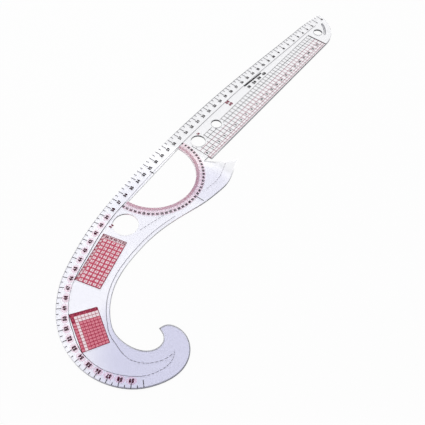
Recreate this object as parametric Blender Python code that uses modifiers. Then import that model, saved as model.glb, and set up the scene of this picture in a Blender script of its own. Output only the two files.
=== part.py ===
"""A clear curve ruler: a flat plastic sheet with a straight blade, a protractor cut-out and a hooked tail.

Every field of print is a thin layer of its own, a hair above the sheet's upper face. Lengths are in metres.
The outline is drawn from the heel, the corner where the straight edge starts: the blade runs to +X, and the
long curved edge is on the +Y side. Run it with blender --background --python part.py.
"""

import itertools
import math

import bmesh
import bpy
import numpy as np

# The sheet
BLADE_LENGTH = 0.2755
BODY_LENGTH = 0.234
RULER_WIDTH = 0.159
CREST_HEIGHT = 0.050
PLATE_THICKNESS = 0.002
END_REACH = 0.0435
END_CORNER_HEIGHT = 0.0355
HEEL_HEIGHT = 0.0041
NOTCH_WIDTH = 0.0071
SPUR_REACH = 0.0162
SPUR_EDGE_DIP = 0.0028

# Cut-outs
PROTRACTOR_PLACE_SHARE = 0.2184
PROTRACTOR_WIDTH_SHARE = 0.2547
PROTRACTOR_LINE_GAP = 0.0007
BIG_HOLE_RADIUS = 0.0118
BIG_HOLE_GAP = 0.0116
BIG_HOLE_DIRECTION = math.radians(195.9)
MEDIUM_HOLE_RADIUS = 0.0075
MEDIUM_HOLE_GAP = 0.0134
MEDIUM_HOLE_DIRECTION = math.radians(-6.9)
SMALL_HOLE_RADIUS = 0.0055
SMALL_HOLE_GAP = 0.0184
HANGING_HOLE_RADIUS = 0.0052
HANGING_HOLE_INSET = 0.0162
HANGING_HOLE_ANGLE = math.radians(-64.6)
SLOT_WIDTH = 0.002
SLOT_INSET = 0.0078
SLOT_START_ANGLE = math.radians(-65)
SLOT_END_ANGLE = math.radians(-36)

# Print
PRINT_THICKNESS = 0.0001
PRINT_CLEARANCE = 0.0003
PRINT_GAP = 0.0004
LINE_WIDTH = 0.0004
TICK_WIDTH = 0.0004
EDGE_MARGIN = 0.0006
EDGE_SCALE_START = 0.005
EDGE_SCALE_END_GAP = 0.0875
LONG_TICK = 0.0045
SHORT_TICK = 0.0025
GRID_PITCH = 0.005
GRID_ROWS = 4
GRID_HOLE_MARGIN = 0.0012
GRID_PROTRACTOR_MARGIN = 0.008
END_BAR_WIDTH = 0.0014
PROTRACTOR_BAND_WIDTH = 0.003
PROTRACTOR_TICK = 0.0018
PROTRACTOR_TICK_STEP = math.radians(5)
PROTRACTOR_END_ANGLE = math.radians(2)
CENTRE_MARK_GAP = 0.0004
CENTRE_MARK_LENGTH = 0.004
SEAM_GUIDE_INSET = 0.010
NECK_GUIDE_INSET = 0.003
TABLE_LINE_GAP = 0.0012
TABLE_CELL = 0.0042
UPPER_TABLE_SPAN = 0.0512
UPPER_TABLE_BAY_MARGIN = 0.0118
LOWER_TABLE_SPAN = 0.0426
LOWER_TABLE_BAY_MARGIN = 0.0075
SCALE_BAR_DIVISION = 0.01
SCALE_BAR_TICKS = 4
SCALE_BAR_WIDTH = 0.0012
SCALE_BAR_TICK = 0.0012

# How finely curves are cut into straight steps
STEPS_PER_SPAN = 4
HOLE_STEPS = 48
END_ARC_STEPS = 24
PROTRACTOR_STEP = math.radians(3)

# The outer curved edge over the blade, as shares of the blade's length and of the crest's height
BLADE_EDGE_SHARES = (
    (0.904, 0.790),
    (0.791, 0.830),
    (0.675, 0.870),
    (0.544, 0.918),
    (0.407, 0.963),
    (0.261, 0.993),
    (0.116, 1.000),
)

# The outer edge round the tail to the hook's tip, as shares of the body's length and of the ruler's width
# below the crest
TAIL_EDGE_SHARES = (
    (0.043, 0.003),
    (0.218, 0.014),
    (0.393, 0.041),
    (0.560, 0.087),
    (0.705, 0.145),
    (0.818, 0.208),
    (0.900, 0.296),
    (0.960, 0.409),
    (0.988, 0.509),
    (1.000, 0.629),
    (0.984, 0.767),
    (0.940, 0.884),
    (0.876, 0.962),
    (0.799, 1.000),
    (0.735, 0.975),
    (0.698, 0.912),
    (0.692, 0.836),
    (0.709, 0.789),
    (0.733, 0.774),
)

# The bay and the lower edge, from the hook's tip to where the spur starts, in the same shares
BAY_EDGE_SHARES = (
    (0.733, 0.774),
    (0.742, 0.809),
    (0.759, 0.832),
    (0.785, 0.835),
    (0.816, 0.808),
    (0.837, 0.752),
    (0.844, 0.679),
    (0.837, 0.613),
    (0.812, 0.553),
    (0.771, 0.495),
    (0.718, 0.447),
    (0.645, 0.412),
    (0.560, 0.396),
    (0.474, 0.392),
    (0.389, 0.404),
    (0.295, 0.435),
    (0.207, 0.471),
    (0.128, 0.491),
    (0.064, 0.497),
    (0.000, 0.474),
)

# How far down the spur's tip lies, as a share of the ruler's width below the crest
SPUR_TIP_SHARE = 0.4415

# How far the scale's border line lies inside the outer edge, as shares of the seam guide's inset, against
# the share of the outer edge's length from the blade's end
BORDER_INSET_SHARES = (
    (0.00, 1.10),
    (0.15, 1.25),
    (0.30, 1.40),
    (0.41, 1.44),
    (0.53, 1.31),
    (0.60, 1.02),
    (0.68, 0.97),
    (0.77, 0.93),
    (0.82, 0.95),
    (0.87, 1.00),
    (1.00, 1.05),
)

# How far the bay guide lies inside the bay's edge, from the neck guide's inset at 0 to the seam guide's at
# 1, against the share of the bay edge's length from the hook's tip
BAY_GUIDE_BLEND_SHARES = (
    (0.00, 1.00),
    (0.13, 1.00),
    (0.18, 0.30),
    (0.24, 0.00),
    (1.00, 0.00),
)

BORDER_START_SHARE = 0.03
BAY_GUIDE_START_SHARE = 0.06
BAY_GUIDE_END_SHARE = 0.66
SPUR_GUIDE_START_SHARE = 0.86
SPUR_GUIDE_END_SHARE = 0.965
SPUR_MARK_SHARE = 0.775
SPUR_MARK_REACH_SHARE = 0.435
HOOK_GUIDE_END_SHARE = 0.93
UPPER_TABLE_PLACE_SHARE = 0.633
LOWER_TABLE_PLACE_SHARE = 0.751
SCALE_BAR_START_SHARE = 0.22

PLATE_COLOUR = (0.86, 0.87, 0.94, 0.35)
GREY_INK = (0.35, 0.33, 0.38, 1.0)
PALE_INK = (0.75, 0.58, 0.64, 1.0)
RED_INK = (0.55, 0.03, 0.10, 1.0)
BLACK_INK = (0.03, 0.03, 0.035, 1.0)


class Path:
    """A run of points with the distance along it, read from its start, and its left-hand side."""

    def __init__(self, points):
        self.points = np.array(points)
        steps = np.linalg.norm(np.diff(self.points, axis=0), axis=1)
        self.distances = np.concatenate([[0], np.cumsum(steps)])
        self.length = self.distances[-1]
        along = np.gradient(self.points, self.distances, axis=0)
        along /= np.linalg.norm(along, axis=1, keepdims=True)
        self.left = np.stack([-along[:, 1], along[:, 0]], axis=1)

    def read(self, values, distance):
        """The values, one for each point, at a distance along the path."""
        return np.array([np.interp(distance, self.distances, column) for column in values.T])

    def at(self, distance, inset=0):
        """The point at that distance, moved by the inset to the left."""
        return self.read(self.points, distance) + inset * self.read(self.left, distance)

    def between(self, start, end, inset=0):
        """The points from one distance to another, moved by the inset to the left.

        The inset is one length, or a function of the distance.
        """
        inner = [place for place in self.distances if start < place < end]
        places = [start, *inner, end]
        return [self.at(place, inset(place) if callable(inset) else inset) for place in places]


def smooth_curve(stations):
    """Points on the natural cubic spline through the stations, STEPS_PER_SPAN to each span."""
    stations = np.array(stations)
    spans = np.linalg.norm(np.diff(stations, axis=0), axis=1)
    slopes = np.diff(stations, axis=0) / spans[:, None]
    system = np.eye(len(stations))
    turns = np.zeros_like(stations)
    for index in range(1, len(stations) - 1):
        before, after = spans[index - 1], spans[index]
        system[index, index - 1 : index + 2] = before, 2 * (before + after), after
        turns[index] = 6 * (slopes[index] - slopes[index - 1])
    bends = np.linalg.solve(system, turns)
    points = []
    for index, span in enumerate(spans):
        for step in range(STEPS_PER_SPAN):
            along = span * step / STEPS_PER_SPAN
            left = span - along
            straight = (stations[index] * left + stations[index + 1] * along) / span
            bend = bends[index] * left * (left**2 - span**2)
            bend += bends[index + 1] * along * (along**2 - span**2)
            points.append(straight + bend / (6 * span))
    return points + [stations[-1]]


def on_circle(centre, radius, angle):
    return np.array(centre) + radius * np.array([math.cos(angle), math.sin(angle)])


def arc(centre, radius, start, end, steps):
    """Points on a circle from one angle to another, both ends included."""
    return [on_circle(centre, radius, angle) for angle in np.linspace(start, end, steps + 1)]


def bowed(start, end, dip):
    """Points on a shallow bow from start to end that dips by that much to the left in its middle."""
    start, end = np.array(start), np.array(end)
    along = end - start
    left = np.array([-along[1], along[0]]) / np.linalg.norm(along)
    shares = np.linspace(0, 1, 2 * STEPS_PER_SPAN + 1)
    return [start + along * share + left * dip * 4 * share * (1 - share) for share in shares]


def full_circle(centre, radius):
    return arc(centre, radius, 0, math.tau, HOLE_STEPS)[:-1]


def body_points(shares):
    return [(-BODY_LENGTH * along, CREST_HEIGHT - RULER_WIDTH * down) for along, down in shares]


class Shape:
    """The outline and the lines that the cut-outs and the print follow."""

    def __init__(self):
        straight_end = BLADE_LENGTH - END_REACH
        self.straight_end = straight_end
        self.end_radius = (END_REACH**2 + END_CORNER_HEIGHT**2) / (2 * END_CORNER_HEIGHT)
        self.end_centre = (straight_end, self.end_radius)
        corner = (BLADE_LENGTH, END_CORNER_HEIGHT)
        blade = [(BLADE_LENGTH * along, CREST_HEIGHT * up) for along, up in BLADE_EDGE_SHARES]
        self.outer_edge = Path(smooth_curve([corner, *blade, *body_points(TAIL_EDGE_SHARES)]))
        spur_tip = (SPUR_REACH, CREST_HEIGHT - RULER_WIDTH * SPUR_TIP_SHARE)
        self.bay_edge = Path(smooth_curve([*body_points(BAY_EDGE_SHARES), spur_tip]))
        spur_top = bowed(spur_tip, (-NOTCH_WIDTH, HEEL_HEIGHT), SPUR_EDGE_DIP)
        heel = [(0, HEEL_HEIGHT), (0, 0)]
        corner_angle = math.asin((END_CORNER_HEIGHT - self.end_radius) / self.end_radius)
        rounded_end = arc(self.end_centre, self.end_radius, -math.pi / 2, corner_angle, END_ARC_STEPS)
        tail_and_bay = [*self.outer_edge.points[:-1], *self.bay_edge.points[:-1]]
        self.outline = [*tail_and_bay, *spur_top, *heel, *rounded_end[:-1]]
        self.protractor_radius = RULER_WIDTH * PROTRACTOR_WIDTH_SHARE
        self.place_protractor()
        self.place_holes()

    def border_inset(self, place):
        """How far the scale's border line lies inside the outer edge at that distance along it."""
        shares, insets = zip(*BORDER_INSET_SHARES)
        return SEAM_GUIDE_INSET * np.interp(place / self.outer_edge.length, shares, insets)

    def bay_guide_inset(self, place):
        """How far the bay guide lies inside the bay's edge. The bay's edge has the sheet on its left."""
        shares, blends = zip(*BAY_GUIDE_BLEND_SHARES)
        blend = np.interp(place / self.bay_edge.length, shares, blends)
        return NECK_GUIDE_INSET + (SEAM_GUIDE_INSET - NECK_GUIDE_INSET) * blend

    def border_at_x(self, x):
        """The border line's point over an X of the body."""
        line = [self.outer_edge.at(place, self.border_inset(place)) for place in self.outer_edge.distances]
        crossing = next(index for index, point in enumerate(line) if point[0] < x)
        before, after = line[crossing - 1], line[crossing]
        return before + (after - before) * (x - before[0]) / (after[0] - before[0])

    def place_protractor(self):
        """Hang the cut-out's straight side just below the border line, along its chord over the corners."""
        middle = -BODY_LENGTH * PROTRACTOR_PLACE_SHARE
        left = self.border_at_x(middle - self.protractor_radius)
        right = self.border_at_x(middle + self.protractor_radius)
        along = (right - left) / np.linalg.norm(right - left)
        self.tilt = math.atan2(along[1], along[0])
        inward = np.array([along[1], -along[0]])
        self.protractor_centre = (left + right) / 2 + inward * (PROTRACTOR_LINE_GAP + LINE_WIDTH / 2)

    def place_holes(self):
        """Space the round holes from the protractor's rim, and the hanging hole from the rounded end."""
        centre = self.protractor_centre
        big_away = self.protractor_radius + BIG_HOLE_GAP + BIG_HOLE_RADIUS
        medium_away = self.protractor_radius + MEDIUM_HOLE_GAP + MEDIUM_HOLE_RADIUS
        small_away = MEDIUM_HOLE_RADIUS + SMALL_HOLE_GAP + SMALL_HOLE_RADIUS
        medium = on_circle(centre, medium_away, MEDIUM_HOLE_DIRECTION)
        hanging = on_circle(self.end_centre, self.end_radius - HANGING_HOLE_INSET, HANGING_HOLE_ANGLE)
        self.holes = {
            "big": (on_circle(centre, big_away, BIG_HOLE_DIRECTION), BIG_HOLE_RADIUS),
            "medium": (medium, MEDIUM_HOLE_RADIUS),
            "small": (on_circle(medium, small_away, 0), SMALL_HOLE_RADIUS),
            "hanging": (hanging, HANGING_HOLE_RADIUS),
        }

    def protractor_cut(self):
        """The D: half a circle on the side away from the outer edge, closed by a straight side."""
        steps = round(math.pi / PROTRACTOR_STEP)
        return arc(self.protractor_centre, self.protractor_radius, self.tilt, self.tilt - math.pi, steps)

    def slot_cut(self):
        """The slot that follows the rounded end, with round ends."""
        middle = self.end_radius - SLOT_INSET
        half = SLOT_WIDTH / 2
        steps = END_ARC_STEPS // 2
        outer = arc(self.end_centre, middle + half, SLOT_START_ANGLE, SLOT_END_ANGLE, steps)
        inner = arc(self.end_centre, middle - half, SLOT_START_ANGLE, SLOT_END_ANGLE, steps)
        last = on_circle(self.end_centre, middle, SLOT_END_ANGLE)
        first = on_circle(self.end_centre, middle, SLOT_START_ANGLE)
        far_end = arc(last, half, SLOT_END_ANGLE, SLOT_END_ANGLE + math.pi, steps)
        near_end = arc(first, half, SLOT_START_ANGLE + math.pi, SLOT_START_ANGLE + math.tau, steps)
        return [*outer[:-1], *far_end[:-1], *inner[:0:-1], *near_end[:-1]]


def make_material(name, colour, roughness):
    material = bpy.data.materials.new(name)
    material.use_nodes = True
    shader = material.node_tree.nodes["Principled BSDF"]
    shader.inputs["Base Color"].default_value = colour
    shader.inputs["Alpha"].default_value = colour[3]
    shader.inputs["Roughness"].default_value = roughness
    shader.inputs["Metallic"].default_value = 0
    return material


def flat_piece(name, outlines, bottom, thickness, material):
    """A flat piece that thick, from the bottom up. The outlines after the first are holes."""
    curve = bpy.data.curves.new(name, "CURVE")
    curve.dimensions = "2D"
    curve.fill_mode = "BOTH"
    curve.extrude = thickness / 2
    for outline in outlines:
        spline = curve.splines.new("POLY")
        spline.points.add(len(outline) - 1)
        for point, (x, y) in zip(spline.points, outline):
            point.co = (x, y, 0, 1)
        spline.use_cyclic_u = True
    curve.materials.append(material)
    piece = bpy.data.objects.new(name, curve)
    piece.location.z = bottom + thickness / 2
    return piece


def ink_layer(name, data, material):
    """A layer of print on the mesh's faces, which lie flat and face up."""
    data.materials.append(material)
    piece = bpy.data.objects.new(name, data)
    piece.location.z = PLATE_THICKNESS + PRINT_CLEARANCE
    thicken = piece.modifiers.new("Ink thickness", "SOLIDIFY")
    thicken.thickness = PRINT_THICKNESS
    thicken.offset = 1
    return piece


def mesh_of(name, points, faces):
    data = bpy.data.meshes.new(name)
    data.from_pydata([(x, y, 0) for x, y in points], [], faces)
    return data


def strip_piece(name, near, far, material):
    """A printed strip between two runs of points. The far run lies to the left of the near one."""
    count = len(near)
    faces = [(index, index + 1, count + index + 1, count + index) for index in range(count - 1)]
    return ink_layer(name, mesh_of(name, [*near, *far], faces), material)


def comb_piece(name, path, ticks, spine_start, spine_end, material, base=lambda place: 0):
    """A printed spine along the path with teeth to its left.

    Each tick is the distance of its middle along the path and the inset of its end. The spine runs between
    the two insets. All insets count from the base, which may change along the path.
    """
    points = []
    for place, tick_end in ticks:
        for inset in (spine_start, spine_end, tick_end):
            for side in (-TICK_WIDTH / 2, TICK_WIDTH / 2):
                points.append(path.at(place + side, base(place) + inset))
    firsts = range(0, len(points), len(points) // len(ticks))
    faces = []
    for first in firsts:
        faces += [(first, first + 1, first + 3, first + 2), (first + 2, first + 3, first + 5, first + 4)]
    for first, following in itertools.pairwise(firsts):
        faces.append((first + 1, following, following + 2, first + 3))
    return ink_layer(name, mesh_of(name, points, faces), material)


def net_piece(name, cells, filled_cells, cell_width, cell_height, material):
    """A printed net of the open and the filled cells, each given as its column and its row.

    The lower left corner of the cell in column 0 and row 0 is the net's own origin.
    """
    mesh = bmesh.new()
    corners = {}
    open_cells = []
    for column, row in [*cells, *filled_cells]:
        around = []
        for place in ((column, row), (column + 1, row), (column + 1, row + 1), (column, row + 1)):
            if place not in corners:
                corners[place] = mesh.verts.new((place[0] * cell_width, place[1] * cell_height, 0))
            around.append(corners[place])
        face = mesh.faces.new(around)
        if (column, row) in cells:
            open_cells.append(face)
    mesh.normal_update()
    bmesh.ops.inset_individual(mesh, faces=open_cells, thickness=LINE_WIDTH / 2)
    bmesh.ops.delete(mesh, geom=open_cells, context="FACES")
    data = bpy.data.meshes.new(name)
    mesh.to_mesh(data)
    mesh.free()
    return ink_layer(name, data, material)


def ruler_plate(shape, material):
    holes = [full_circle(centre, radius) for centre, radius in shape.holes.values()]
    outlines = [shape.outline, shape.protractor_cut(), shape.slot_cut(), *holes]
    return flat_piece("ruler_plate", outlines, 0, PLATE_THICKNESS, material)


def edge_scale(shape, material):
    """Ticks every half centimetre along the outer edge, the whole centimetres longer."""
    scale_length = shape.outer_edge.length - EDGE_SCALE_START - EDGE_SCALE_END_GAP
    ticks = []
    for index in range(math.floor(scale_length / GRID_PITCH) + 1):
        ticks.append((EDGE_SCALE_START + index * GRID_PITCH, SHORT_TICK if index % 2 else LONG_TICK))
    return comb_piece("edge_scale", shape.outer_edge, ticks, EDGE_MARGIN, EDGE_MARGIN + LINE_WIDTH, material)


def guide_line(name, path, start_share, end_share, inset, material):
    """A thin line inside an edge, between two shares of its length."""
    start, end = path.length * start_share, path.length * end_share
    near = path.between(start, end, lambda place: inset(place) - LINE_WIDTH / 2)
    far = path.between(start, end, lambda place: inset(place) + LINE_WIDTH / 2)
    return strip_piece(name, near, far, material)


def scale_lines(shape, grey, pale):
    """The border line of the edge scale, and the guides in the hook, the bay and the spur."""
    outer, bay = shape.outer_edge, shape.bay_edge
    scale_end = 1 - EDGE_SCALE_END_GAP / outer.length
    hook_start = scale_end + PRINT_GAP / outer.length
    bay_span = BAY_GUIDE_START_SHARE, BAY_GUIDE_END_SHARE
    spur_span = SPUR_GUIDE_START_SHARE, SPUR_GUIDE_END_SHARE
    return [
        guide_line("scale_border_line", outer, BORDER_START_SHARE, scale_end, shape.border_inset, grey),
        guide_line("hook_guide_line", outer, hook_start, HOOK_GUIDE_END_SHARE, shape.border_inset, pale),
        guide_line("bay_guide_line", bay, *bay_span, shape.bay_guide_inset, pale),
        guide_line("spur_guide_line", bay, *spur_span, lambda _: SEAM_GUIDE_INSET, pale),
    ]


def spur_mark(shape, material):
    """The short mark that runs in from the lower edge beside the spur guide, towards the protractor."""
    path = shape.bay_edge
    place = path.length * SPUR_MARK_SHARE
    sides = [place - TICK_WIDTH / 2, place + TICK_WIDTH / 2]
    room = math.dist(path.at(place), shape.protractor_centre) - shape.protractor_radius
    foot = [path.at(side, EDGE_MARGIN) for side in sides]
    top = [path.at(side, room * SPUR_MARK_REACH_SHARE) for side in sides]
    return strip_piece("spur_mark", foot, top, material)


def protractor_prints(shape, pale, grey):
    """The coloured band round the cut-out, the ring of degree ticks outside it and the centre's mark."""
    centre, tilt = shape.protractor_centre, shape.tilt
    first, last = tilt - PROTRACTOR_END_ANGLE, tilt - math.pi + PROTRACTOR_END_ANGLE
    steps = round((first - last) / PROTRACTOR_STEP)
    inside = shape.protractor_radius + PRINT_GAP
    outside = inside + PROTRACTOR_BAND_WIDTH
    rims = [arc(centre, radius, first, last, steps) for radius in (inside, outside)]
    pieces = [strip_piece("protractor_band", *rims, pale)]
    ring_radius = outside + PRINT_GAP
    ring = Path(arc(centre, ring_radius, first, last, steps))
    spacing = PROTRACTOR_TICK_STEP * ring_radius
    margin = (PROTRACTOR_TICK_STEP - PROTRACTOR_END_ANGLE) * ring_radius
    count = math.floor((ring.length - margin) / spacing) + 1
    ticks = [(margin + index * spacing, LINE_WIDTH + PROTRACTOR_TICK) for index in range(count)]
    pieces.append(comb_piece("protractor_scale", ring, ticks, 0, LINE_WIDTH, grey))
    along = np.array([math.cos(tilt), math.sin(tilt)]) * TICK_WIDTH / 2
    up = np.array([-math.sin(tilt), math.cos(tilt)])
    foot = shape.border_at_x(centre[0]) + up * (LINE_WIDTH / 2 + CENTRE_MARK_GAP)
    top = foot + up * CENTRE_MARK_LENGTH
    sides = [(foot - along, foot + along), (top - along, top + along)]
    pieces.append(strip_piece("protractor_centre_mark", *sides, grey))
    return pieces


def blade_grid(shape, red, grey):
    """The net of cells on the blade, with its end bar, and the ticks between the net and the straight edge.

    A cell is left out where it would come near the border line, the protractor's numbers or a hole.
    """
    columns = math.floor((shape.straight_end - PRINT_GAP - END_BAR_WIDTH) / GRID_PITCH)
    half_diagonal = GRID_PITCH / math.sqrt(2)
    rounds = [(shape.protractor_centre, shape.protractor_radius + GRID_PROTRACTOR_MARGIN)]
    rounds += [(centre, radius + GRID_HOLE_MARGIN) for centre, radius in shape.holes.values()]

    def kept(cell):
        x, y = (cell[0] + 0.5) * GRID_PITCH, (cell[1] + 0.5) * GRID_PITCH
        clear = all(math.dist((x, y), centre) > radius + half_diagonal for centre, radius in rounds)
        return clear and y + half_diagonal + PRINT_GAP < shape.border_at_x(x)[1]

    cells = list(filter(kept, itertools.product(range(columns), range(1, GRID_ROWS + 1))))
    net = net_piece("blade_grid", cells, [], GRID_PITCH, GRID_PITCH, red)
    end = columns * GRID_PITCH + PRINT_GAP
    top = (GRID_ROWS + 1) * GRID_PITCH
    far = end + END_BAR_WIDTH
    bar_ends = [[(x, y) for x in (end, far)] for y in (EDGE_MARGIN, top)]
    bar = strip_piece("grid_end_bar", *bar_ends, grey)
    straight_edge = Path([(0, 0), (shape.straight_end, 0)])
    ticks = [(index * GRID_PITCH, GRID_PITCH - PRINT_GAP) for index in range(1, columns)]
    spine = EDGE_MARGIN, EDGE_MARGIN + LINE_WIDTH
    return [net, bar, comb_piece("straight_edge_scale", straight_edge, ticks, *spine, red)]


def scale_bar(shape, material):
    """A plain bar with divisions that hangs inside the border line over the middle of the blade."""
    start = shape.outer_edge.length * SCALE_BAR_START_SHARE
    tick_end = SCALE_BAR_WIDTH + SCALE_BAR_TICK
    ticks = [(start + index * SCALE_BAR_DIVISION, tick_end) for index in range(SCALE_BAR_TICKS)]

    def base(place):
        return shape.border_inset(place) + LINE_WIDTH / 2 + PRINT_GAP

    return comb_piece("scale_bar", shape.outer_edge, ticks, 0, SCALE_BAR_WIDTH, material, base)


def number_table(name, shape, place_share, span, bay_margin, material):
    """A net with a filled header, between the border line and the bay beside a span of the outer edge."""
    middle = shape.outer_edge.length * place_share
    ends = []
    for place in (middle - span / 2, middle + span / 2):
        ends.append(shape.outer_edge.at(place, shape.border_inset(place) + TABLE_LINE_GAP))
    head, foot = ends
    length = math.dist(head, foot)
    along = (foot - head) / length
    inward = np.array([-along[1], along[0]])
    places = (shape.bay_edge.points - head) @ np.stack([along, inward], axis=1)
    beside = places[(places[:, 0] > 0) & (places[:, 0] < length)]
    width = beside[:, 1].min() - bay_margin
    columns = round(length / TABLE_CELL)
    rows = round(width / TABLE_CELL)
    cells = list(itertools.product(range(1, columns), range(rows)))
    header = [(0, row) for row in range(rows)]
    table = net_piece(name, cells, header, length / columns, width / rows, material)
    table.location.xy = head
    table.rotation_euler.z = math.atan2(along[1], along[0])
    return table


def main():
    for obj in list(bpy.data.objects):
        bpy.data.objects.remove(obj)
    shape = Shape()
    clear = make_material("clear_plastic", PLATE_COLOUR, 0.08)
    grey = make_material("grey_ink", GREY_INK, 0.5)
    pale = make_material("pale_ink", PALE_INK, 0.5)
    red = make_material("red_ink", RED_INK, 0.5)
    black = make_material("black_ink", BLACK_INK, 0.5)
    upper_table = UPPER_TABLE_PLACE_SHARE, UPPER_TABLE_SPAN, UPPER_TABLE_BAY_MARGIN
    lower_table = LOWER_TABLE_PLACE_SHARE, LOWER_TABLE_SPAN, LOWER_TABLE_BAY_MARGIN
    pieces = [
        ruler_plate(shape, clear),
        edge_scale(shape, grey),
        *scale_lines(shape, grey, pale),
        spur_mark(shape, grey),
        *protractor_prints(shape, pale, grey),
        *blade_grid(shape, red, grey),
        number_table("upper_number_table", shape, *upper_table, red),
        number_table("lower_number_table", shape, *lower_table, red),
        scale_bar(shape, black),
    ]
    collection = bpy.data.collections.new("curve_ruler")
    bpy.context.scene.collection.children.link(collection)
    centre = bpy.data.objects.new("ruler_centre", None)
    collection.objects.link(centre)
    low, high = np.min(shape.outline, axis=0), np.max(shape.outline, axis=0)
    centre.location.xy = -(low + high) / 2
    for piece in pieces:
        collection.objects.link(piece)
        piece.parent = centre


main()
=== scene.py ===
"""Dresses the curve ruler: a clear cut sheet with its printed scales, guides, tables and numbers.

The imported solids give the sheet's rims. Every field of print is drawn on the sheet's upper face from them.
Lengths are in metres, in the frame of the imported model: +X along the straight blade, +Y to the outer edge.
Places on the sheet are counted from the heel, the straight edge's first corner.
"""

import logging
import math
from dataclasses import dataclass
from enum import Enum
from typing import Callable, Iterable, Optional, Sequence

import bpy
import numpy as np
from mathutils import Matrix, Vector
from mathutils.geometry import tessellate_polygon


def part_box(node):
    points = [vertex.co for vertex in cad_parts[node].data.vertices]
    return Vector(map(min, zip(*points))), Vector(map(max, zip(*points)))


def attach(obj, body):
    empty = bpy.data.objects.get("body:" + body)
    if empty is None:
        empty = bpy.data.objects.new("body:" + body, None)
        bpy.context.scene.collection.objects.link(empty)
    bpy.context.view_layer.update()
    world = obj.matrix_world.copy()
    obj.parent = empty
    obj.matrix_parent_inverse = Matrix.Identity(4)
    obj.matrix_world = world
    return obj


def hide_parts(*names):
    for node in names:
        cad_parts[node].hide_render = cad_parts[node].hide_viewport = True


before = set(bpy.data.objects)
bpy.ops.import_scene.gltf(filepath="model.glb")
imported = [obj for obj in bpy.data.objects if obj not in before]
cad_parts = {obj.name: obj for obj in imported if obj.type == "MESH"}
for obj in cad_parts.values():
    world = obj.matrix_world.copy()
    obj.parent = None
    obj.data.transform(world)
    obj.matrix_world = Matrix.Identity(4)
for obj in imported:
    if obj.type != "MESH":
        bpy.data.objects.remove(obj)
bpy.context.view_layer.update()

LOG = logging.getLogger("curve_ruler")
MILLIMETRE = 0.001
CENTIMETRE = 0.01
HALF_TURN = 180
NEAR_WEIGHT, WEIGHTS = 9, 16
UNBROKEN = (math.inf, 0.0)
WHITE = (1.0, 1.0, 1.0, 1.0)
NO_GLOW = (0.0, 0.0, 0.0, 1.0)
Point = np.ndarray
Pair = tuple[float, float]
Triple = tuple[float, float, float]
Pairs = tuple[Pair, ...]
Patch = tuple[float, float, float, float]
Faces = list[tuple[int, ...]]
Inset = Callable[[float], float]
Socket = bpy.types.NodeSocket


class Layer(Enum):
    """How far above the sheet's face a layer of ink starts, in metres."""

    TINT = 0.00002
    PANEL = 0.00006
    RULE = 0.00010
    LETTER = 0.00014


@dataclass(frozen=True)
class InkFinish:
    """A printed ink: its colour, its colour where it lies thin, and one for the tail where that differs."""

    name: str
    slot: str
    colour: Triple
    thin_colour: Triple
    unevenness: float
    roughness: float
    tail_colour: Optional[Triple] = None
    alpha: float = 1.0
    shine: float = 0.08


@dataclass(frozen=True)
class SheetFinish:
    """The clear plastic: its faint tint, a stronger bluer tint for soft patches, and the painted shade, deep
    painted shade and painted glow of its cut walls.
    """

    name: str = "clear_sheet"
    slot: str = "clear_plastic"
    face_tint: Triple = (0.93, 0.93, 0.95)
    deep_tint: Triple = (0.53, 0.53, 0.69)
    # Painted shade: walls that face -Y get these darker tints, deepest in the dark patches; walls facing +Y
    # keep the unshaded tint.
    lower_wall_tint: Triple = (0.36, 0.36, 0.41)
    deep_wall_tint: Triple = (0.15, 0.15, 0.18)
    upper_wall_tint: Triple = (1.0, 1.0, 1.0)
    # Painted glow: the light the walls give off in the pale patches.
    wall_glow: Triple = (0.24, 0.24, 0.25)
    roughness: float = 0.03
    worn_roughness: float = 0.06
    wall_roughness: float = 0.5
    refraction: float = 1.49


class Inks(Enum):
    """The inks of the print."""

    GREY = InkFinish(
        "grey_print", "grey_ink", (0.19, 0.18, 0.20), (0.30, 0.28, 0.31), 0.25, 0.6, (0.03, 0.022, 0.03)
    )
    NUMERAL = InkFinish(
        "numeral_print", "grey_ink", (0.02, 0.014, 0.018), (0.10, 0.02, 0.045), 0.1, 0.6, (0.06, 0.001, 0.018)
    )
    PALE = InkFinish(
        "pale_print", "pale_ink", (0.40, 0.38, 0.43), (0.42, 0.40, 0.46), 0.3, 0.6, (0.22, 0.21, 0.27)
    )
    BAND = InkFinish(
        "band_print", "pale_ink", (0.38, 0.12, 0.19), (0.6, 0.28, 0.36), 0.3, 0.5, (0.46, 0.12, 0.20)
    )
    NET = InkFinish(
        "net_print", "grey_ink", (0.085, 0.075, 0.085), (0.2, 0.19, 0.2), 0.3, 0.5, (0.08, 0.05, 0.06)
    )
    ROSE = InkFinish("rose_print", "red_ink", (0.33, 0.05, 0.11), (0.55, 0.22, 0.3), 0.3, 0.5)
    RED = InkFinish("red_print", "red_ink", (0.40, 0.015, 0.055), (0.52, 0.07, 0.12), 0.4, 0.6)
    MAROON = InkFinish("maroon_print", "red_ink", (0.19, 0.006, 0.035), (0.32, 0.03, 0.08), 0.3, 0.6)
    BLACK = InkFinish("black_print", "black_ink", (0.012, 0.010, 0.012), (0.06, 0.06, 0.065), 0.15, 0.5)
    PETAL = InkFinish("petal_print", "red_ink", (0.80, 0.26, 0.34), (0.92, 0.52, 0.60), 0.7, 0.6)
    WASH = InkFinish("wash_print", "red_ink", (0.94, 0.78, 0.84), (0.99, 0.93, 0.96), 0.8, 0.6)
    FLUSH = InkFinish("flush_print", "red_ink", (0.64, 0.10, 0.17), (0.80, 0.28, 0.36), 0.7, 0.6)
    BLUSH = InkFinish("blush_print", "red_ink", (1.0, 0.30, 0.54), (1.0, 0.55, 0.72), 0.5, 0.5, alpha=0.13)
    HALO = InkFinish("halo_print", "red_ink", (1.0, 0.26, 0.48), (1.0, 0.50, 0.68), 0.4, 0.5, alpha=0.14)


def left_of(direction: Sequence[float]) -> Point:
    """The direction turned a quarter to the left."""
    return np.array([-direction[1], direction[0]])


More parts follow.
